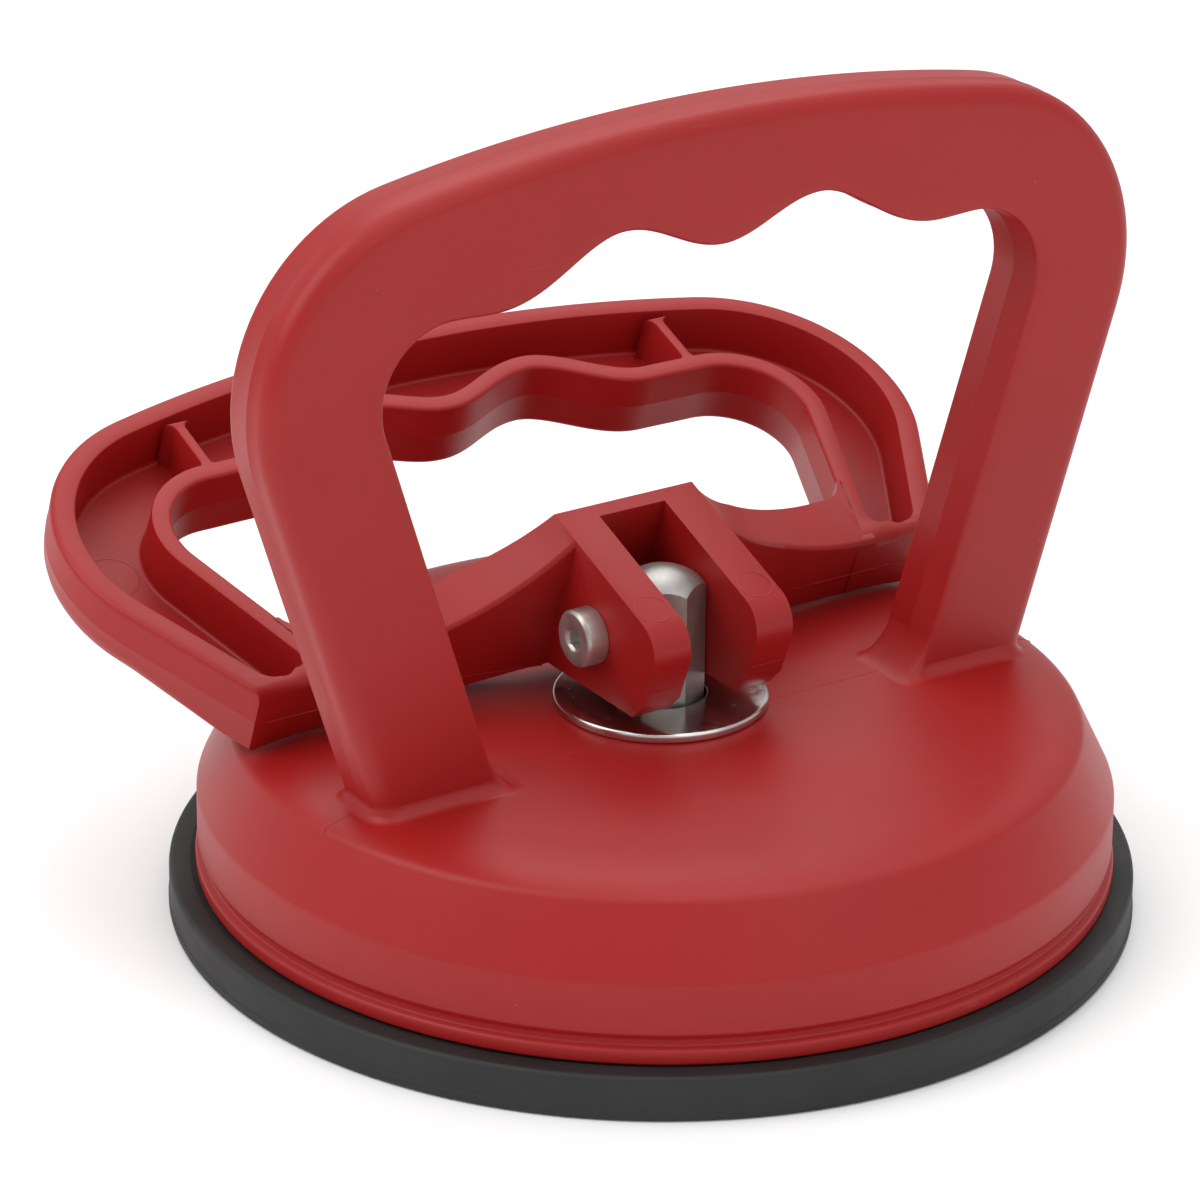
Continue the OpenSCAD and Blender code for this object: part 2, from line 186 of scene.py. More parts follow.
def link_mesh(name, bm, scale=1.0):
    """Cleans a bmesh, scales it and links it into the scene as an object."""
    bmesh.ops.remove_doubles(bm, verts=bm.verts, dist=WELD)
    bmesh.ops.recalc_face_normals(bm, faces=bm.faces)
    bmesh.ops.scale(bm, vec=(scale, scale, scale), verts=bm.verts)
    me = bpy.data.meshes.new(name)
    bm.to_mesh(me)
    bm.free()
    ob = bpy.data.objects.new(name, me)
    scene.collection.objects.link(ob)
    return ob


def mesh_object(name, bm, sharp=38.0):
    """Turns a bmesh in millimetres into a smooth-shaded object in metres."""
    ob = link_mesh(name, bm, MM)
    ob.data.shade_smooth()
    ob.data.set_sharp_from_angle(angle=math.radians(sharp))
    return ob


def grid(bm, rows, close_rows=False, close_cols=False, cap=False):
    """Skins a list of rows of points. The ends may be capped."""
    vs = [[bm.verts.new(p) for p in row] for row in rows]
    n, m = len(vs), len(vs[0])
    for i in range(n if close_rows else n - 1):
        for j in range(m if close_cols else m - 1):
            quad = [vs[i][j], vs[(i + 1) % n][j], vs[(i + 1) % n][(j + 1) % m], vs[i][(j + 1) % m]]
            bm.faces.new(quad)
    if cap:
        bm.faces.new(vs[0])
        bm.faces.new(list(reversed(vs[-1])))
    return vs


def lathe(bm, profile, seg=192, closed=True, place=None):
    """Turns (r, z) or (r, z, flats) points about Z; flats is a hexagon's width that the radius may not pass."""
    rows = []
    for k in range(seg):
        a = 360 * k / seg
        row = []
        for p in profile:
            r = p[0]
            if len(p) > 2:
                flat = p[2] / 2 / cosd((a + 30) % 60 - 30)
                r = min(r, flat)
            row.append(Vector((r * cosd(a), r * sind(a), p[1])))
        rows.append([place @ v for v in row] if place else row)
    grid(bm, rows, close_rows=True, close_cols=closed)


def prism(bm, outline, depth0, depth1, put):
    """Extrudes a 2-D outline between two depths; put(x, y, depth) gives a point."""
    grid(bm, [[put(x, y, d) for x, y in outline] for d in (depth0, depth1)], close_cols=True, cap=True)


def solid(name, build):
    """A closed body in millimetres, for boolean work."""
    bm = bmesh.new()
    build(bm)
    return link_mesh(name, bm)


def boolean(target, tool, operation):
    """Applies one exact boolean to target and removes the tool."""
    mod = target.modifiers.new("cut", "BOOLEAN")
    mod.object, mod.operation, mod.solver = tool, operation, "EXACT"
    deps = bpy.context.evaluated_depsgraph_get()
    me = bpy.data.meshes.new_from_object(target.evaluated_get(deps))
    target.modifiers.clear()
    old, target.data = target.data, me
    bpy.data.meshes.remove(old)
    bpy.data.objects.remove(tool)


def to_bmesh(ob):
    """Takes an object's mesh back into a bmesh and removes the object."""
    bm = bmesh.new()
    bm.from_mesh(ob.data)
    bpy.data.objects.remove(ob)
    return bm


# ---------------------------------------------------------------- outlines of the two grips
def tangent_angle(c, r, p):
    """Angle on a circle at which the tangent from point p touches it."""
    dx, dy = p[0] - c[0], p[1] - c[1]
    return math.degrees(math.atan2(dy, dx)) + math.degrees(math.acos(r / math.hypot(dx, dy)))


def half_outer(c, r, top, start, foot, counts):
    """Right half of a grip's outer edge: leg, rounded corner, long arc over the top."""
    leg_n, corner_n, top_n = counts
    rise = top - c[1]
    big = (c[0] ** 2 + rise ** 2 - r * r) / (2 * (rise - r))
    mid = (0, top - big)
    meet = math.degrees(math.atan2(c[1] - mid[1], c[0]))
    corner = arc(c, r, start, meet, corner_n)
    leg = [lerp(foot, corner[0], t) for t in leg_n]
    return leg + corner + arc(mid, big, meet, 90, top_n)[1:]


def half_inner(c, r, lean, foot, keys, counts):
    """Right half of the finger opening: leg, rounded corner, finger hollows."""
    leg_n, corner_n, top_n = counts
    corner = arc(c, r, -lean, 90, corner_n)
    leg = [lerp(foot, corner[0], t) for t in leg_n]
    hollows = []
    spans = list(zip(keys[:0:-1], keys[-2::-1]))
    total = keys[-1][0] - keys[0][0]
    for i in range(1, top_n + 1):
        x = keys[-1][0] - total * i / top_n
        for a, b in spans:
            if b[0] - 1e-9 <= x <= a[0]:
                s = (a[0] - x) / (a[0] - b[0])
                if b is keys[1]:
                    s -= 0.2 * s * (1 - s)
                hollows.append((x, a[1] + (b[1] - a[1]) * (1 - cosd(180 * s)) / 2))
                break
    return leg + corner + hollows


def mirrored(half):
    """A closed outline from its right half, which stops short of x = 0."""
    return half + [(-x, y) for x, y in reversed(half)]


def whole(half):
    """A path from its right half, which ends at x = 0."""
    return half + [(-x, y) for x, y in reversed(half[:-1])]


def normals(path):
    """Unit normals to the left of a path."""
    out = []
    for i in range(len(path)):
        a, b = path[max(i - 1, 0)], path[min(i + 1, len(path) - 1)]
        d = Vector((b[0] - a[0], b[1] - a[1])).normalized()
        out.append(Vector((-d.y, d.x)))
    return out


def quarter(r, n, flip=False):
    """(inset, height) steps round a convex edge of radius r, from the face to the side."""
    steps = [(r * (1 - sind(90 * k / n)), r * (1 - cosd(90 * k / n))) for k in range(n + 1)]
    return steps[::-1] if flip else steps


def tray_profile(t, big, rim_o, rim_i, small, wall_o, wall_i, floor, seam):
    """Cross-section of a grip: a tray with its floor at height 0 and its mouth at height t.
    Each entry is (side, inset, height when the channel is open, height when it is closed)."""
    draft, root, lip = 0.25, 0.5, 0.22
    mid, seam_in, seam_half = t / 2, 0.22, 0.06

    def up(side, edge, rim, seam_out):
        pts = [(side, i, h) for i, h in quarter(edge, 7 if edge > 1 else 3)]
        pts += [(side, 0, mid - seam_in), (side, -seam_out, mid - seam_half)]
        pts += [(side, -seam_out, mid + seam_half), (side, 0, mid + seam_in)]
        pts += [(side, i, t - h) for i, h in quarter(rim, 6 if rim > 1 else 3, True)]
        return pts

    def channel(side, wall):
        pts = [(side, wall - lip, t), (side, wall - lip * 0.3, t - lip * 0.3), (side, wall, t - lip)]
        foot = wall + draft
        return pts + [(side, foot + inset, floor + h) for h, inset in quarter(root, 4)]

    outer = up("o", big, rim_o, seam) + channel("o", wall_o)
    inner = up("i", small, rim_i, seam) + channel("i", wall_i)
    floor_mid = [("m", k / 4, floor) for k in (1, 2, 3)]
    face_mid = [("f", k / 6, 0) for k in (1, 2, 3, 4, 5)]
    return outer + floor_mid + inner[::-1] + face_mid, (wall_o + draft + root, wall_i + draft + root, big, small)


def hollowed(r, d):
    """How far a rounded corner of radius r stands in at distance d from its start."""
    return r - math.sqrt(r * r - (r - d) ** 2) if d < r else 0.0


def station(opened=1.0, square=0.0, pinch=0.0, drop=0.0, edge=1.0):
    """One section of a grip near its foot: how open the channel is, how square the section is to the leg's foot,
    how far the channel narrows, how far its mouth is rounded off, how much of the rounded outer edge there is."""
    return opened, square, pinch, drop, edge


def channel_end(start, edge=1.0):
    """Distances along the leg, and stations, where a channel opens between rounded corners."""
    return [start + d for d in END_STEPS], \
        [station(1.0 if d else 0.85, 1.0, hollowed(CHANNEL_END_R, d), edge=edge) for d in END_STEPS]


def sweep_grip(bm, outer, inner, profile, insets, depth, stations, put):
    """Skins a grip between its outer edge and its finger opening; stations are the first sections of each leg."""
    no, ni = normals(outer), normals(inner)
    fo, fi, eo, ei = insets
    half = stations + [station()] * (len(outer) // 2 + 1 - len(stations))
    rows = []
    for s, (opened, square, pinch, drop, edge) in enumerate(half + half[-2::-1]):
        def at(side, inset):
            base, n = (Vector(outer[s]), no[s]) if side == "o" else (Vector(inner[s]), -ni[s])
            p = base + n * inset
            return p + Vector((-n.y, n.x)) * (square * (base.y - p.y) / n.x) if square else p
        row = []
        for side, inset, h in profile:
            if side == "o" and inset <= eo and h <= eo:
                inset, h = inset * edge, h * edge
            in_channel = side == "m" or (side in "oi" and inset > 1.5 and h > 1.5)
            if side == "m":
                p = at("o", fo + pinch).lerp(at("i", fi + pinch), inset)
            elif side == "f":
                p = at("i", ei).lerp(at("o", eo), inset)
            else:
                p = at(side, inset + (pinch if in_channel else 0))
            if in_channel:
                h = h + (1 - opened) * (depth - h)
            row.append(put(p.x, p.y, min(h, depth - drop)))
        rows.append(row)
    grid(bm, rows, close_cols=True, cap=True)


def channel_rib(bm, u0, u1, x, h0, h1, put, t=1.4, flare=1.1):
    """A thin rib across a channel, which flares into the walls at both ends."""
    half = [(u0 + along, t / 2 + wide) for wide, along in quarter(flare, 6)]
    half = half + [(u1 - (p[0] - u0), p[1]) for p in reversed(half)]
    rows = []
    for inset, h in ((-0.12, h0), (0, h0 + 0.5), (0, h1 - 0.3), (0.09, h1 - 0.09), (0.3, h1)):
        row = [put(x + w - inset, u, h) for u, w in half] + [put(x - w + inset, u, h) for u, w in reversed(half)]
        rows.append(row)
    grid(bm, rows, close_cols=True, cap=True)


# ---------------------------------------------------------------- housing: dome and fixed handle
def upright(x, z, h):
    """A point of the fixed handle, at depth h behind its front."""
    return Vector((x, HANDLE_FRONT_Y + h, z))


def leg_x(r, z):
    """Where the side of a handle leg stands at height z; r is the corner radius that the side runs into."""
    return HANDLE_CORNER[0] + r / cosd(LEG_LEAN) - (HANDLE_CORNER[1] - z) * math.tan(math.radians(LEG_LEAN))


def dome(bm):
    """The turned shell: lip, groove, skirt, bevel, crown and its inside."""
    start, steps = CROWN_R - 0.7, 24
    radii = [start - (start - SEAT_R) * (i / steps) ** 2 for i in range(steps + 1)]
    crown = [(r, crown_z(r)) for r in radii]
    foot = PAD_RIM_T + 0.02
    outside = filleted([
        (SKIRT_R - WALL, foot), (LIP_R, foot, 0.35), (LIP_R, PAD_RIM_T + 1.75, 0.45),
        (LIP_R - 0.85, PAD_RIM_T + 2.15, 0.25), (LIP_R - 0.75, PAD_RIM_T + 3.0, 0.5),
        (SKIRT_R + 0.05, PAD_RIM_T + 3.7, 0.6), (SKIRT_R, SKIRT_TOP_Z, 1.6), (CROWN_R, CROWN_EDGE_Z, 1.6),
        crown[0]], closed=False, n=14)
    roof = SEAT_Z - WALL
    inside = [(SEAT_R - 4, SEAT_Z), (GUIDE_R, SEAT_Z), (GUIDE_R, roof), (SEAT_R, roof), (CROWN_R - 8, roof - 0.1),
              (CROWN_R - 1.7, CROWN_EDGE_Z - WALL), (SKIRT_R - WALL, SKIRT_TOP_Z - 0.7)]
    lathe(bm, outside + crown[1:] + inside, seg=288, place=Matrix.Translation((BASE_X, BASE_Y, 0)))


def foot_fillet(bm, side):
    """Concave fillet where a leg of the handle meets the crown, wider on the leg's inner side."""
    y0, y1 = HANDLE_FRONT_Y, HANDLE_FRONT_Y + HANDLE_T
    xi, xo = leg_x(INNER_R, FILLET_Z), leg_x(CORNER_R, FILLET_Z)
    slope = math.tan(math.radians(LEG_LEAN))
    sink, root, spacing, steps = 0.02, 0.5, 0.7, 10
    ring = filleted([(xi, y0, 0.5), (xo, y0, 2.3), (xo, y1, 1.3), (xi, y1, 0.5)], n=10)
    dense = []
    for i, p in enumerate(ring):
        q = ring[(i + 1) % len(ring)]
        n = max(1, int(math.dist(p, q) / spacing))
        dense += [lerp(p, q, k / n) for k in range(n)]
    m = len(dense)
    rows = []
    for i in range(m):
        a, b = dense[i - 1], dense[(i + 1) % m]
        d = Vector((b[0] - a[0], b[1] - a[1])).normalized()
        out = Vector((d.y, -d.x))
        p = Vector(dense[i])
        inward = max(0.0, -out.x) ** 2
        wide = FILLET_OUT + (FILLET_IN_W - FILLET_OUT) * inward
        high = FILLET_OUT + (FILLET_IN_H - FILLET_OUT) * inward
        section = []
        for k in range(steps + 1):
            t = 90 * k / steps
            off, h = wide * (1 - cosd(t)), high * (1 - sind(t))
            q = p + out * (off - sink)
            z = top_z(side * q.x, q.y) + h - sink
            q.x += (z - FILLET_Z) * slope * (1 - off / wide)
            section.append((q.x, q.y, z))
        q = p - out * root
        section.append((q.x, q.y, top_z(side * q.x, q.y) - root))
        rows.append([Vector((side * s[0], s[1], s[2])) for s in section])
    grid(bm, rows, close_rows=True, close_cols=True)


def seam_bead(bm):
    """Thin parting line across the dome, in the plane of the handle's middle."""
    y = HANDLE_FRONT_Y + HANDLE_T / 2
    section = ((-0.2, -0.1), (-0.07, 0.05), (0.07, 0.05), (0.2, -0.1))
    steps = 240
    rows = []
    for i in range(steps + 1):
        x = BASE_X - BEAD_X + 2 * BEAD_X * i / steps
        z = top_z(x, y)
        rows.append([Vector((x, y + dy, z + dz)) for dy, dz in section])
    grid(bm, rows, close_cols=True, cap=True)


def build_housing():
    bm = bmesh.new()
    dome(bm)
    foot_z = HANDLE_FOOT_Z
    run = HANDLE_CORNER[1] - INNER_R * sind(LEG_LEAN) - foot_z
    end = CHANNEL_Z - foot_z
    heights = [0, end * 0.3, end * 0.6, end * 0.9, end - 0.12]
    sections = [station(0.0, 1.0, CHANNEL_END_R)] * len(heights)
    more, opening = channel_end(end)
    heights += more
    sections += opening
    steps = 13
    for k in range(1, steps):
        heights.append(end + CHANNEL_END_R + (run - end - CHANNEL_END_R) * k / steps)
        sections.append(station(square=1 - k / steps))
    counts = ([h / run for h in heights], 26, 84)
    foot_out, foot_in = (leg_x(CORNER_R, foot_z), foot_z), (leg_x(INNER_R, foot_z), foot_z)
    outer = whole(half_outer(HANDLE_CORNER, CORNER_R, HANDLE_TOP_Z, -LEG_LEAN, foot_out, counts))
    inner = whole(half_inner(HANDLE_CORNER, INNER_R, LEG_LEAN, foot_in, HANDLE_WAVE, counts))
    profile, insets = tray_profile(HANDLE_T, big=2.3, rim_o=1.1, rim_i=0.5, small=0.45, wall_o=GRIP_WALL,
                                   wall_i=GRIP_WALL, floor=GRIP_WALL, seam=0.07)
    sweep_grip(bm, outer, inner, profile, insets, HANDLE_T, sections, upright)
    for side in (-1, 1):
        foot_fillet(bm, side)
        channel_rib(bm, 86.5, 96.1, side * RIB_X, GRIP_WALL - 0.6, HANDLE_T - 0.3, upright)
    seam_bead(bm)
    return mesh_object("housing_moulding", bm, sharp=32)


# ---------------------------------------------------------------- lever
TILT = Matrix.Rotation(math.radians(REST_TILT), 4, "X")
LEVER_LOW = LEVER_OPEN_W - LEVER_T


def lever_put(x, u, h):
    """A point of the lever's own plane, at height h over the underside of its loop."""
    p = TILT @ Vector((x, u, LEVER_LOW + h))
    return Vector((p.x, p.y, p.z + PIVOT_Z))


def lever_side(u, w, x):
    """The same for a side view of the lever, drawn along U and W."""
    return lever_put(x, u, w - LEVER_LOW)


def face_meet(t1, d1, t2, d2):
    """Corner of two cam faces, each given by the tilt at which it lies flat and its distance from the pivot."""
    s = sind(t2 - t1)
    return ((d1 * cosd(t2) - d2 * cosd(t1)) / s, (d2 * sind(t1) - d1 * sind(t2)) / s)


def soften(bm, width, angle, keep=None, segments=2):
    """Rounds every edge sharper than an angle."""
    bmesh.ops.remove_doubles(bm, verts=bm.verts, dist=2e-3)
    bmesh.ops.dissolve_limit(bm, angle_limit=math.radians(0.4), verts=bm.verts, edges=bm.edges)
    edges = [e for e in bm.edges if len(e.link_faces) == 2 and e.calc_face_angle(0) > math.radians(angle)
             and (keep is None or keep(e))]
    bmesh.ops.bevel(bm, geom=edges, offset=width, segments=segments, profile=0.5, affect="EDGES", clamp_overlap=True)


def opening_side(u):
    """Where the side of the lever's finger opening stands at distance u along the lever."""
    lean = math.tan(math.radians(OPENING_LEAN))
    return LEVER_INNER[0] + LEVER_INNER_R / cosd(OPENING_LEAN) - (LEVER_INNER[1] - u) * lean


def bar_solid():
    """The bar that sweeps down from the ears to the loop, cut to its plan, with its front edge rounded."""
    corner_u, corner_r = 21.5, 4.0
    opening_x = opening_side(corner_u) - corner_r / cosd(OPENING_LEAN)
    sweep_x = opening_x + 2.9
    rise, run = EAR_TOP - LEVER_OPEN_W, sweep_x - EAR_X
    sweep_r = (run * run + rise * rise) / (2 * rise)
    top = arc((sweep_x, sweep_r + LEVER_OPEN_W), sweep_r, -90 - 2 * math.degrees(math.atan(rise / run)), -90, 30)
    profile = mirrored([(BAR_FAR_X, LEVER_LOW), (BAR_FAR_X, LEVER_OPEN_W)] + top[::-1])
    wing = [(39.5, NEAR_U), (39.5, 10.4), (38.2, 10.4), (41.2, 20.2)]
    plan = mirrored(
        [(EAR_X, BAR_FRONT_U), (EAR_X + BAR_LEAN_X, NEAR_U)] + wing
        + [(opening_x + corner_r * cosd(a), corner_u + corner_r * sind(a))
           for a in (-OPENING_LEAN, -30, -42, -54, -66, -78)]
        + [(opening_x - 0.5, BAR_BACK_U), (EAR_X + 9.7, BAR_BACK_U - 2.1), (EAR_X, EAR_BACK_U)])
    bar = solid("bar", lambda bm: prism(bm, profile, 2.0, 26.0, lambda x, w, u: lever_put(x, u, w - LEVER_LOW)))
    boolean(bar, solid("plan", lambda bm: prism(bm, plan, -2.0, 40.0, lever_put)), "INTERSECT")
    bm = bmesh.new()
    bm.from_mesh(bar.data)
    flat, near = TILT.inverted(), 0.02

    def on_front(v):
        q = flat @ (v.co - Vector((0, 0, PIVOT_Z)))
        return abs(q.y - front_u(q.x)) < near and q.z > LEVER_OPEN_W - near
    edges = [e for e in bm.edges if all(on_front(v) for v in e.verts) and e.calc_face_angle(0) > 0.8
             and min(abs(v.co.x) for v in e.verts) > EAR_X - 0.5]
    bmesh.ops.bevel(bm, geom=edges, offset=1.5, segments=5, profile=0.5, affect="EDGES", clamp_overlap=True)
    bm.to_mesh(bar.data)
    bm.free()
    return bar


def build_ears_and_bar():
    """The block that carries the ears, joined to the bar, with its slot, bore and nut pocket cut."""
    bar = bar_solid()
    bevel_d = BEVEL_FACE + LIFT * (BEVEL_TILT - REST_TILT) / (RAISED_TILT - REST_TILT) - CAM_GAP
    side = [(EAR_BACK_U, (-HEEL - EAR_BACK_U * sind(REST_TILT)) / cosd(REST_TILT)), (EAR_BACK_U, EAR_TOP)] \
        + arc((EAR_NOSE_R - LOCK_FACE, EAR_TOP - EAR_NOSE_R), EAR_NOSE_R, 90, 180, 10) \
        + [face_meet(BEVEL_TILT, bevel_d, RAISED_TILT, LOCK_FACE),
           face_meet(REST_TILT, HEEL, BEVEL_TILT, bevel_d)]
    arch_h = HEEL - PIVOT_Z + crown_z(ARCH_X) + ARCH_GAP
    arch_r = (ARCH_X ** 2 + arch_h ** 2) / (2 * abs(arch_h))
    disc = [(arch_r * cosd(k * 1.5), arch_r * sind(k * 1.5) + PIVOT_Z - HEEL - arch_r) for k in range(240)]
    slot = [(-14.0, -30.0), (SLOT_BACK_U, -30.0), (SLOT_BACK_U, 20.0), (-14.0, 20.0)]
    bore = [(BORE_R * cosd(k * 7.5), BORE_R * sind(k * 7.5)) for k in range(48)]
    nut_r = NUT_AF / 2 / cosd(30)
    pocket = [(nut_r * cosd(60 * k + 30), nut_r * sind(60 * k + 30)) for k in range(6)]
    for name, outline, x0, x1, put, operation in (
            ("ears", side, -EAR_X, EAR_X, lever_side, "UNION"),
            ("slot", slot, -SLOT_X, SLOT_X, lever_side, "DIFFERENCE"),
            ("arch", disc, -50, 60, lambda x, z, y: Vector((x, y, z)), "DIFFERENCE"),
            ("bore", bore, -12, 12, lever_side, "DIFFERENCE"),
            ("pocket", pocket, EAR_X - NUT_POCKET, EAR_X + 1, lever_side, "DIFFERENCE")):
        boolean(bar, solid(name, lambda bm: prism(bm, outline, x0, x1, put)), operation)
    bm = to_bmesh(bar)
    soften(bm, 0.32, 28)
    return bm


def ejector_mark(bm, x, u, w, r):
    """A shallow ring left by an ejector pin."""
    section = ((r - 0.16, -0.1), (r - 0.1, 0.035), (r + 0.1, 0.035), (r + 0.16, -0.1))
    steps = 48
    rows = []
    for k in range(steps):
        a = 360 * k / steps
        rows.append([lever_put(x + q * cosd(a), u + q * sind(a), w + d) for q, d in section])
    grid(bm, rows, close_rows=True, close_cols=True)


def front_u(x):
    """Front of the bar, which leans out from the ears to the wings."""
    return min(NEAR_U, BAR_FRONT_U + (abs(x) - EAR_X) * (NEAR_U - BAR_FRONT_U) / BAR_LEAN_X)


def parting_line(bm, path, w):
    """A hair-thin ridge across a face that looks forward."""
    section = ((0.1, -0.1), (-0.05, -0.04), (-0.05, 0.04), (0.1, 0.1))
    grid(bm, [[lever_side(u + du, w + dw, x) for du, dw in section] for x, u in path], close_cols=True, cap=True)


def build_lever():
    bm = build_ears_and_bar()
    start = tangent_angle(LEVER_CORNER, LEVER_CORNER_R, (NEAR_X, NEAR_U))
    run = LEVER_CORNER[1] + LEVER_CORNER_R * sind(start) - NEAR_U
    ends = [0, 0.12, 0.45, 0.95, 1.5, NEAR_WALL - 0.12]
    sections = [station(0.0, 1.0, CHANNEL_END_R, hollowed(CHANNEL_END_R, d), NEAR_EDGE) for d in ends]
    more, opening = channel_end(NEAR_WALL, NEAR_EDGE)
    ends += more
    sections += opening
    past, steps = ends[-1], 10
    for k in range(1, steps):
        ends.append(past + (run - past) * k / steps)
        sections.append(station(square=1 - k / steps, edge=min(1.0, NEAR_EDGE + 0.09 * k)))
    counts = ([e / run for e in ends], 30, 84)
    foot_in = (opening_side(NEAR_U), NEAR_U)
    outer = whole(half_outer(LEVER_CORNER, LEVER_CORNER_R, LEVER_REACH, start, (NEAR_X, NEAR_U), counts))
    inner = whole(half_inner(LEVER_INNER, LEVER_INNER_R, OPENING_LEAN, foot_in, LEVER_WAVE, counts))
    profile, insets = tray_profile(LEVER_T, big=3.1, rim_o=0.8, rim_i=0.5, small=0.6, wall_o=GRIP_WALL,
                                   wall_i=GRIP_WALL - 0.5, floor=FLOOR_T, seam=0.06)
    sweep_grip(bm, outer, inner, profile, insets, LEVER_T, sections, lever_put)
    ear_w, bar_w, over_crown = 0.9, -11.2, 0.35
    for side in (-1, 1):
        channel_rib(bm, 47.6, 55.95, side * RIB_X, FLOOR_T - 0.6, LEVER_T - 0.25, lever_put)
        ejector_mark(bm, side * 52, 39, FLOOR_T, 3.4)
        ejector_mark(bm, side * (EAR_X + SLOT_X) / 2, -6.0, EAR_TOP - LEVER_LOW, 2.2)
        parting_line(bm, [(side * x, -LOCK_FACE) for x in (SLOT_X + 0.3, EAR_X - 0.3)], ear_w)
        parting_line(bm, [(side * x, front_u(x)) for x in (EAR_X + 0.3, 17, EAR_X + BAR_LEAN_X, 34, 47)], bar_w)
    for v in bm.verts:      # the near edge stays clear of the crown
        if math.hypot(v.co.x, v.co.y) < SKIRT_R:
            v.co.z = max(v.co.z, top_z(v.co.x, v.co.y) + over_crown)
    return mesh_object("lever_moulding", bm, sharp=32)


# ---------------------------------------------------------------- turned and stamped pieces
def build_washer():
    bm = bmesh.new()
    z0, z1 = SEAT_Z + 0.02, SEAT_Z + WASHER_T
    lathe(bm, filleted([(WASHER_HOLE_R, z0, 0.15), (WASHER_R, z0, 0.3),
                        (WASHER_R, z1, 0.42), (WASHER_HOLE_R, z1, 0.2)], n=5))
    return mesh_object("cam_washer_stamped", bm)


def build_pad():
    bm = bmesh.new()
    rim_in = SKIRT_R - WALL - 1.7
    web_t, boss_t, core_r = 3.2, 3.7, 4.0
    off = Matrix.Translation((BASE_X - 0.3, BASE_Y + 0.2, 0))
    lathe(bm, filleted([
        (core_r, 0), (PAD_R, 0, 0.5), (PAD_R, 1.2, 0.2), (PAD_R - 0.12, 1.35, 0.2), (PAD_R - 0.12, PAD_RIM_T, 0.7),
        (LIP_R + 0.3, PAD_RIM_T, 0.2), (LIP_R - 0.1, PAD_RIM_T - 0.15), (rim_in, PAD_RIM_T - 0.15, 0.6),
        (rim_in - 3, web_t, 0.6), (29.5, web_t, 0.5), (28.5, boss_t, 0.3), (core_r, boss_t)], n=6),
        seg=256, place=off)
    lathe(bm, [(core_r, 0), (AXIS_R, 0), (AXIS_R, boss_t), (core_r, boss_t)], seg=256, closed=False, place=off)
    return mesh_object("suction_pad_rubber", bm)


def build_post():
    bm = bmesh.new()
    dome_r = POST_AF * 0.8
    c = POST_TOP_Z - dome_r
    corner_r, stud_r, stud_hole = 6.0, 3.05, 16
    rim = [(dome_r * sind(a), c + dome_r * cosd(a), POST_AF) for a in (0.3, *range(2, 68))]
    body = [(corner_r, c, POST_AF), (corner_r, POST_Z + 20, POST_AF), (corner_r, POST_Z + 2, POST_AF),
            (5.0, POST_Z, POST_AF), (stud_r, POST_Z, POST_AF), (stud_r, POST_Z + stud_hole),
            (AXIS_R, POST_Z + stud_hole)]
    lathe(bm, rim + body, seg=240, closed=False)
    return mesh_object("hex_post_turned", bm, sharp=24)


def build_screw():
    bm = bmesh.new()
    out = Matrix.Rotation(math.radians(-90), 4, "Y")
    place = Matrix.Translation((0, 0, PIVOT_Z)) @ TILT @ out
    shank_r, tip, chamfer = 1.98, -11.2, 0.35
    z0, z1 = EAR_X + 0.02, EAR_X + SCREW_HEAD_H
    key_z, key_rim = z1 - 1.6, KEY_AF * 0.66
    profile = [(AXIS_R, key_z - 0.35), (KEY_AF * 0.35, key_z - 0.1), (KEY_AF, key_z, KEY_AF),
               (KEY_AF, z1 - 0.35, KEY_AF), (KEY_AF * 0.62, z1 - 0.05), (key_rim, z1)]
    profile += filleted([(key_rim, z1), (SCREW_HEAD_R - chamfer, z1, 0.1), (SCREW_HEAD_R, z1 - chamfer, 0.12),
                         (SCREW_HEAD_R, z0, 0.1), (shank_r, z0)], closed=False, n=4)[1:]
    profile += [(shank_r, tip + 0.4), (1.6, tip), (AXIS_R, tip)]
    lathe(bm, profile, seg=96, closed=False, place=place)
    return mesh_object("pivot_screw_turned", bm, sharp=30)


# ---------------------------------------------------------------- materials
def nodes_of(name):
    """A new material, its node tree and its Principled shader."""
    mat = bpy.data.materials.new(name)
    mat.use_nodes = True
    nt = mat.node_tree
    return mat, nt, nt.nodes["Principled BSDF"]


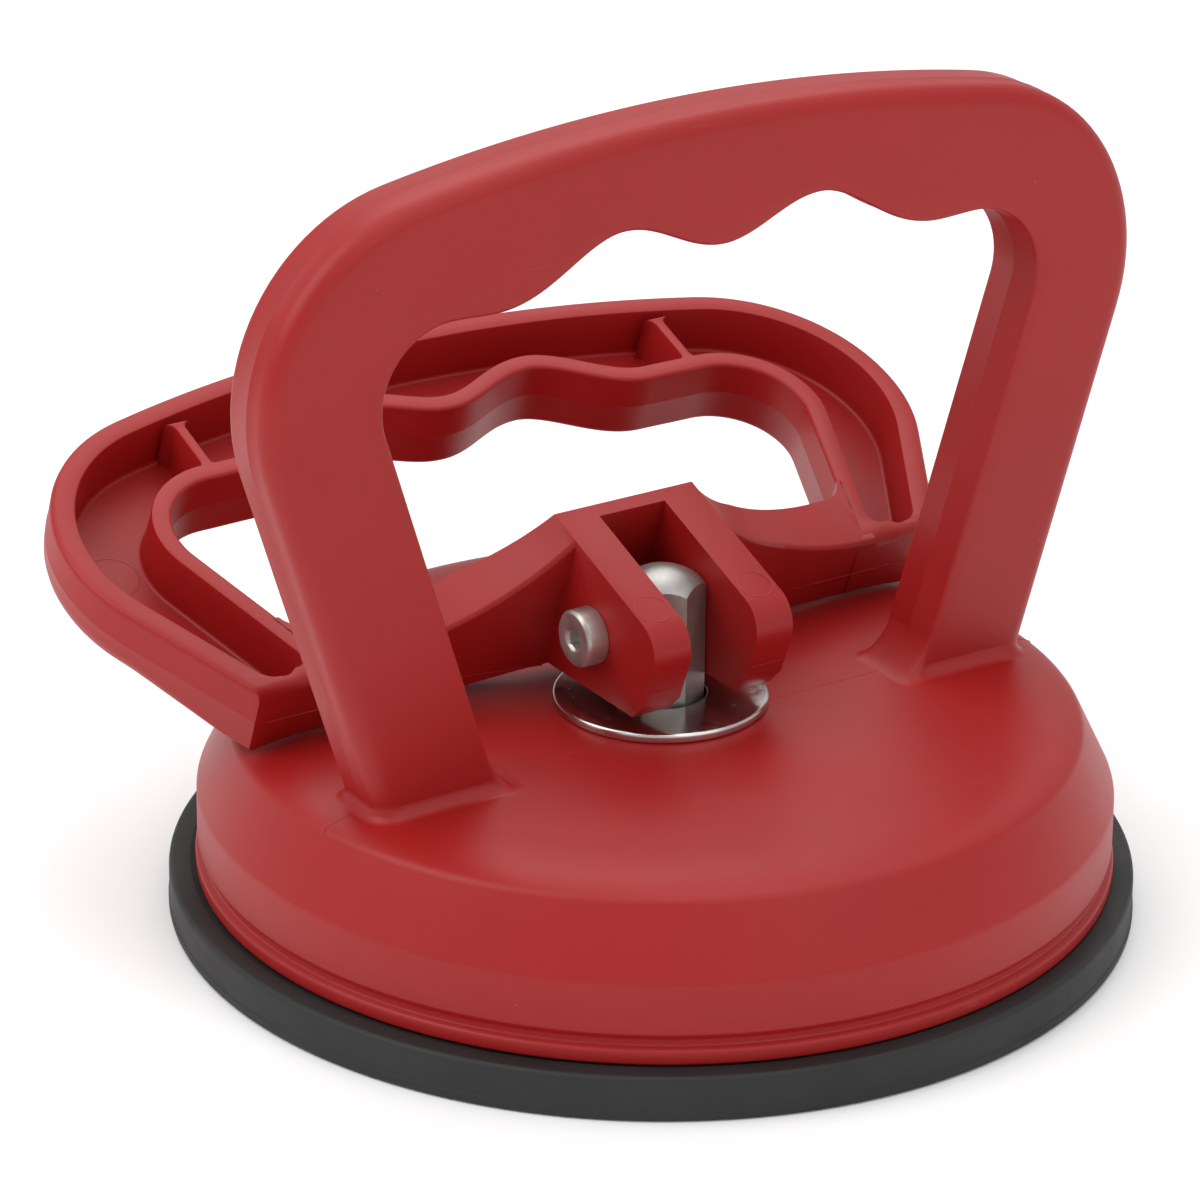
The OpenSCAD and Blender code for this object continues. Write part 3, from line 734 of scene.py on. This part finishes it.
class Net:
    """Short names for making and linking shader nodes."""

    def __init__(self, nt):
        self.nt = nt
        self.coord = nt.nodes.new("ShaderNodeTexCoord").outputs["Object"]

    def noise(self, scale, detail=2.0, rough=0.5, stretch=None):
        n = self.nt.nodes.new("ShaderNodeTexNoise")
        n.inputs["Scale"].default_value = scale
        n.inputs["Detail"].default_value = detail
        n.inputs["Roughness"].default_value = rough
        source = self.coord
        if stretch:
            m = self.nt.nodes.new("ShaderNodeMapping")
            m.inputs["Scale"].default_value = stretch
            self.nt.links.new(self.coord, m.inputs["Vector"])
            source = m.outputs["Vector"]
        self.nt.links.new(source, n.inputs["Vector"])
        return n.outputs["Fac"]

    def voronoi(self, scale, feature="F1"):
        n = self.nt.nodes.new("ShaderNodeTexVoronoi")
        n.feature = feature
        n.inputs["Scale"].default_value = scale
        self.nt.links.new(self.coord, n.inputs["Vector"])
        return n.outputs["Distance"]

    def ramp(self, value, a, b, low=0.0, high=1.0):
        n = self.nt.nodes.new("ShaderNodeMapRange")
        for key, v in (("From Min", a), ("From Max", b), ("To Min", low), ("To Max", high)):
            n.inputs[key].default_value = v
        self.nt.links.new(value, n.inputs["Value"])
        return n.outputs["Result"]

    def math(self, op, a, b):
        n = self.nt.nodes.new("ShaderNodeMath")
        n.operation = op
        for i, v in enumerate((a, b)):
            if isinstance(v, (int, float)):
                n.inputs[i].default_value = v
            else:
                self.nt.links.new(v, n.inputs[i])
        return n.outputs[0]

    def mix(self, fac, a, b):
        n = self.nt.nodes.new("ShaderNodeMix")
        n.data_type = "RGBA"
        for key, v in ((0, fac), (6, a), (7, b)):
            if isinstance(v, (int, float)):
                n.inputs[key].default_value = v
            elif isinstance(v, tuple):
                n.inputs[key].default_value = (*v, 1)
            else:
                self.nt.links.new(v, n.inputs[key])
        return n.outputs[2]

    def bump(self, height, strength, distance, before=None):
        n = self.nt.nodes.new("ShaderNodeBump")
        n.inputs["Strength"].default_value = strength
        n.inputs["Distance"].default_value = distance
        self.nt.links.new(height, n.inputs["Height"])
        if before is not None:
            self.nt.links.new(before, n.inputs["Normal"])
        return n.outputs["Normal"]

    def to(self, out, socket):
        self.nt.links.new(out, socket)


def red_plastic():
    """Satin moulded ABS: faint flow clouding, a fine matt texture, pale dust and hairline scuffs."""
    mat, nt, bsdf = nodes_of("red_plastic_moulded")
    n = Net(nt)
    cloud = n.noise(28, 4, 0.55)
    grain = n.noise(2600, 2)
    base = n.mix(n.ramp(cloud, 0.35, 0.68), (0.325, 0.0065, 0.006), (0.350, 0.010, 0.009))
    specks = n.ramp(n.voronoi(420), 0.06, 0.02)
    sparse = n.ramp(n.noise(160, 2), 0.6, 0.68)
    dust = n.math("MULTIPLY", n.math("MULTIPLY", specks, sparse), 0.35)
    base = n.mix(dust, base, (0.60, 0.30, 0.27))
    scuff_lines = n.ramp(n.noise(90, 3, 0.6, (1, 14, 6)), 0.66, 0.74)
    scuff_where = n.ramp(n.noise(34, 2), 0.56, 0.72)
    scuff = n.math("MULTIPLY", n.math("MULTIPLY", scuff_lines, scuff_where), 0.16)
    base = n.mix(scuff, base, (0.52, 0.14, 0.12))
    n.to(base, bsdf.inputs["Base Color"])
    rough = n.ramp(n.noise(60, 4, 0.6), 0.3, 0.7, 0.40, 0.47)
    n.to(n.math("ADD", rough, scuff), bsdf.inputs["Roughness"])
    bsdf.inputs["IOR"].default_value = 1.5
    bsdf.inputs["Specular IOR Level"].default_value = 0.38
    bump = n.bump(grain, 0.10, 0.00010)
    n.to(n.bump(n.noise(420, 3), 0.10, 0.00022, bump), bsdf.inputs["Normal"])
    return mat


def black_rubber():
    """Matt moulded rubber with a fine texture and sparse pale dust."""
    mat, nt, bsdf = nodes_of("black_rubber_moulded")
    n = Net(nt)
    base = n.mix(n.ramp(n.noise(40, 4), 0.35, 0.7), (0.0090, 0.0090, 0.0093), (0.0140, 0.0139, 0.0139))
    specks = n.math("MULTIPLY", n.ramp(n.voronoi(620), 0.10, 0.03), n.ramp(n.noise(210, 2), 0.58, 0.66))
    base = n.mix(n.math("MULTIPLY", specks, 0.30), base, (0.20, 0.19, 0.18))
    n.to(base, bsdf.inputs["Base Color"])
    n.to(n.ramp(n.noise(90, 4), 0.3, 0.7, 0.56, 0.68), bsdf.inputs["Roughness"])
    bump = n.bump(n.noise(2200, 3), 0.22, 0.00012)
    n.to(n.bump(n.noise(300, 2), 0.12, 0.0003, bump), bsdf.inputs["Normal"])
    return mat


def steel(name, dark, light, rough, streak, scratch=0.3, metal=1.0):
    """Plated steel with fine directional scratches and slight tarnish."""
    mat, nt, bsdf = nodes_of(name)
    n = Net(nt)
    bsdf.inputs["Metallic"].default_value = metal
    tarnish = n.noise(190, 4, 0.6)
    n.to(n.mix(n.ramp(tarnish, 0.35, 0.7), dark, light), bsdf.inputs["Base Color"])
    lines = n.noise(700, 3, 0.6, streak)
    n.to(n.ramp(lines, 0.3, 0.7, rough - 0.06, rough + 0.08), bsdf.inputs["Roughness"])
    bump = n.bump(lines, scratch, 0.00006)
    n.to(n.bump(n.noise(900, 3), scratch * 0.12, 0.0001, bump), bsdf.inputs["Normal"])
    return mat


MATERIALS = {
    "red_plastic": red_plastic(),
    "black_rubber": black_rubber(),
    "zinc_steel": steel("zinc_steel_plated", (0.60, 0.58, 0.56), (0.66, 0.65, 0.63), 0.20, (1, 1, 5), 0.08),
    "bright_steel": steel("bright_steel_drawn", (0.34, 0.33, 0.31), (0.52, 0.51, 0.48), 0.38, (6, 6, 1), 0.3, 0.8),
    "screw_steel": steel("screw_steel_rough", (0.42, 0.38, 0.35), (0.62, 0.60, 0.57), 0.36, (6, 1, 1), 0.5, 0.8),
}
NODE_SLOT = {s["node"]: s["material_slot"] for s in frame["record"]["subparts"]}
NODE_BODY = {n: b for b, members in frame["record"]["behaviour"]["bodies"].items() for n in members}


def finish_piece(piece, node):
    """A detailed piece stands for a CAD node, on its body and in its material."""
    piece.data.materials.clear()
    piece.data.materials.append(MATERIALS[NODE_SLOT[node]])
    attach(piece, NODE_BODY[node])
    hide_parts(node)


for node, build in (("housing", build_housing), ("lever", build_lever), ("cam_washer", build_washer),
                    ("suction_pad", build_pad), ("hex_post", build_post), ("pivot_screw", build_screw)):
    finish_piece(build(), node)

for node in ("pad_plate", "pad_stud", "lock_nut", "pivot_nut"):
    kept = frame["nodes"][node]
    kept.data.materials.clear()
    kept.data.materials.append(MATERIALS[NODE_SLOT[node]])
    bevel = kept.modifiers.new("edges", "BEVEL")
    bevel.width, bevel.segments, bevel.limit_method = 0.18 * MM, 2, "ANGLE"
    bevel.angle_limit = math.radians(35)

# ---------------------------------------------------------------- floor, lights, camera
FLOOR_HALF, FLOOR_Z = 1500, -0.05
floor_bm = bmesh.new()
grid(floor_bm, [[Vector((x * FLOOR_HALF, y * FLOOR_HALF, FLOOR_Z)) for x in (-1, 1)] for y in (-1, 1)])
floor = mesh_object("floor", floor_bm)
floor_mat, _, floor_bsdf = nodes_of("floor_white")
floor_bsdf.inputs["Base Color"].default_value = (0.99, 0.99, 0.99, 1)
floor_bsdf.inputs["Roughness"].default_value = 0.9
floor.data.materials.append(floor_mat)

world = bpy.data.worlds.new("studio")
scene.world = world
world.use_nodes = True
sky = world.node_tree.nodes["Background"]
sky.inputs["Color"].default_value = (1, 1, 1, 1)
sky.inputs["Strength"].default_value = 0.63


def softbox(name, az, el, distance, size, power):
    """Area light aimed at the middle of the object."""
    light = bpy.data.lights.new(name, "AREA")
    light.shape, light.size, light.energy = "SQUARE", size, power
    ob = bpy.data.objects.new(name, light)
    aim = Vector((0, 0, 0.045))
    away = Vector((sind(az) * cosd(el), -cosd(az) * cosd(el), sind(el)))
    ob.location = aim + away * distance
    ob.rotation_euler = away.to_track_quat("Z", "Y").to_euler()
    scene.collection.objects.link(ob)


softbox("key", -105, 48, 0.9, 0.7, 3.4)
softbox("back", 150, 55, 0.9, 0.7, 2.3)
softbox("fill", 10, 35, 1.1, 0.8, 1.5)
softbox("top", 30, 78, 1.0, 0.8, 2.2)

CAM_AT = Vector((-310.07, -457.66, 277.64)) * MM
CAM_AZ, CAM_EL, CAM_ROLL, CAM_LENS = -33.35, 23.43, 0.64, 152.06
back = Vector((sind(CAM_AZ) * cosd(CAM_EL), -cosd(CAM_AZ) * cosd(CAM_EL), sind(CAM_EL)))
right = (-back).cross(Vector((0, 0, 1))).normalized()
up = right.cross(-back)
cam_right = right * cosd(CAM_ROLL) + up * sind(CAM_ROLL)
cam_up = up * cosd(CAM_ROLL) - right * sind(CAM_ROLL)
cam_data = bpy.data.cameras.new("camera")
cam_data.sensor_width = 36.0
cam_data.lens = CAM_LENS
cam_data.clip_end = 10.0
camera = bpy.data.objects.new("camera", cam_data)
camera.matrix_world = Matrix.Translation(CAM_AT) @ Matrix((cam_right, cam_up, back)).transposed().to_4x4()
scene.collection.objects.link(camera)
scene.camera = camera
scene.view_settings.view_transform = "Standard"
